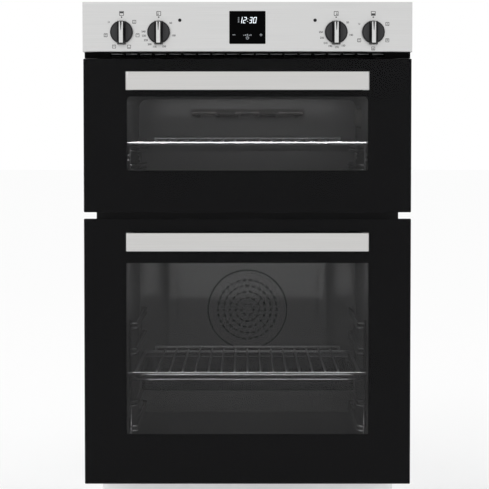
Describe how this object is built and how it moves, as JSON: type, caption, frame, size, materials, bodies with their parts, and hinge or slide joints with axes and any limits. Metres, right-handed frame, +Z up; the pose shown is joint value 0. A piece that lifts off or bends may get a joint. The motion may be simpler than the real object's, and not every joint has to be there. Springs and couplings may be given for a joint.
{
  "type": "built-in double wall oven",
  "caption": "Built-in double oven: a grill oven over a larger fan oven, drop-down glass doors with flat bar handles, and a steel fascia with a timer between pairs of knobs.",
  "frame": {"origin": "middle of the casing's width on the underside of the base, in the plane of the kitchen cabinet's front edge (the back face of the fixing ears)", "axes": "+X to the oven's right seen from the front, +Y into the kitchen cabinet, +Z up"},
  "size_m": [0.595, 0.61, 0.878],
  "materials": {
    "galvanised": "galvanised sheet with a faint spangle",
    "frame_black": "satin black paint",
    "enamel": "glossy dark grey-blue vitreous enamel with fine specks",
    "tray_enamel": "glossy black vitreous enamel",
    "wool": "matte mineral wool",
    "seal": "matte silicone",
    "motor": "satin dark paint",
    "element": "heat-darkened steel tube",
    "lamp_glass": "clear ribbed glass",
    "wire_chrome": "bright plated wire",
    "rack_wire": "dull plated rod",
    "stainless": "fine horizontal brushing",
    "handle_steel": "fine brushing along the bar",
    "knob_steel": "bright brushed strip",
    "knob_black": "satin dark grey plastic",
    "door_glass": "black glass with a clear smoked window",
    "pane_glass": "clear heat-reflecting pane",
    "display_glass": "black glass with white figures",
    "board": "circuit board and cover",
    "switch_plastic": "ivory moulded plastic",
    "black_plastic": "fine-grained black plastic",
    "vent_black": "dead matte black louvre",
    "hardware": "zinc-plated steel",
    "fan_aluminium": "stamped aluminium"
  },
  "bodies": {
    "cabinet": {"base_plate": "galvanised", "left_side_panel": "galvanised", "right_side_panel": "galvanised", "rear_panel": "galvanised", "top_cover": "galvanised", "front_frame": "frame_black", "main_cavity": "enamel", "grill_cavity": "enamel", "insulation": "wool", "door_seals": "seal", "fan_cover": "enamel", "fan_motors": "motor", "ring_element": "element", "grill_element": "element", "oven_lamps": "lamp_glass", "main_racks": "rack_wire", "grill_racks": "rack_wire", "control_fascia": "stainless", "control_bracket": "galvanised", "display_glass": "display_glass", "timer_module": "board", "switch_bodies": "switch_plastic", "pilot_lamps": "black_plastic", "air_outlet": "vent_black", "cooling_duct": "galvanised", "terminal_box": "black_plastic", "hinge_arms": "hardware", "body_screws": "hardware"},
    "upper_door": {"upper_outer_glass": "door_glass", "upper_inner_glass": "pane_glass", "upper_door_profiles": "hardware", "upper_door_trims": "black_plastic", "upper_handle": "handle_steel", "upper_hinge_bodies": "hardware", "upper_door_screws": "hardware"},
    "lower_door": {"lower_outer_glass": "door_glass", "lower_inner_glass": "pane_glass", "lower_door_profiles": "hardware", "lower_door_trims": "black_plastic", "lower_handle": "handle_steel", "lower_hinge_bodies": "hardware", "lower_door_screws": "hardware", "lower_middle_glass": "pane_glass"},
    "grill_mode_control": {"grill_mode_knob": "knob_black", "grill_mode_insert": "knob_steel", "grill_mode_shaft": "hardware"},
    "grill_temp_control": {"grill_temp_knob": "knob_black", "grill_temp_insert": "knob_steel", "grill_temp_shaft": "hardware"},
    "main_temp_control": {"main_temp_knob": "knob_black", "main_temp_insert": "knob_steel", "main_temp_shaft": "hardware"},
    "main_mode_control": {"main_mode_knob": "knob_black", "main_mode_insert": "knob_steel", "main_mode_shaft": "hardware"},
    "fan_rotor": {"convection_fan": "fan_aluminium"},
    "cooling_rotor": {"cooling_wheel": "fan_aluminium"},
    "main_shelf_slide": {"main_shelf": "wire_chrome"},
    "tray_slide": {"baking_tray": "tray_enamel"},
    "grill_shelf_slide": {"grill_shelf": "wire_chrome"}
  },
  "joints": [
    {"name": "door_lower", "type": "hinge", "parent": "cabinet", "child": "lower_door", "pos_m": [0, -0.02, 0.0205], "axis": [1, 0, 0], "range_deg": [0, 90], "stiffness_Nm_per_rad": 8, "springref_deg": -14.32},
    {"name": "door_upper", "type": "hinge", "parent": "cabinet", "child": "upper_door", "pos_m": [0, -0.02, 0.516], "axis": [1, 0, 0], "range_deg": [0, 90], "stiffness_Nm_per_rad": 3, "springref_deg": -17.19},
    {"name": "knob_grill_mode", "type": "hinge", "parent": "cabinet", "child": "grill_mode_control", "pos_m": [-0.2268, -0.05, 0.8236], "axis": [0, 1, 0], "continuous": true},
    {"name": "knob_grill_temp", "type": "hinge", "parent": "cabinet", "child": "grill_temp_control", "pos_m": [-0.1599, -0.05, 0.8236], "axis": [0, 1, 0], "range_deg": [0, 270]},
    {"name": "knob_main_temp", "type": "hinge", "parent": "cabinet", "child": "main_temp_control", "pos_m": [0.1599, -0.05, 0.8236], "axis": [0, 1, 0], "range_deg": [0, 270]},
    {"name": "knob_main_mode", "type": "hinge", "parent": "cabinet", "child": "main_mode_control", "pos_m": [0.2268, -0.05, 0.8236], "axis": [0, 1, 0], "continuous": true},
    {"name": "slide_baking_tray", "type": "slide", "parent": "cabinet", "child": "tray_slide", "axis": [0, -1, 0], "range_m": [-0.011, 0.011]},
    {"name": "slide_grill_shelf", "type": "slide", "parent": "cabinet", "child": "grill_shelf_slide", "axis": [0, -1, 0], "range_m": [-0.011, 0.008]},
    {"name": "slide_main_shelf", "type": "slide", "parent": "cabinet", "child": "main_shelf_slide", "axis": [0, -1, 0], "range_m": [-0.011, 0.008]},
    {"name": "spin_convection_fan", "type": "hinge", "parent": "cabinet", "child": "fan_rotor", "pos_m": [0, 0.41, 0.2835], "axis": [0, 1, 0], "continuous": true},
    {"name": "spin_cooling_wheel", "type": "hinge", "parent": "cabinet", "child": "cooling_rotor", "pos_m": [0, 0.3, 0.8], "axis": [0, 0, 1], "continuous": true}
  ]
}
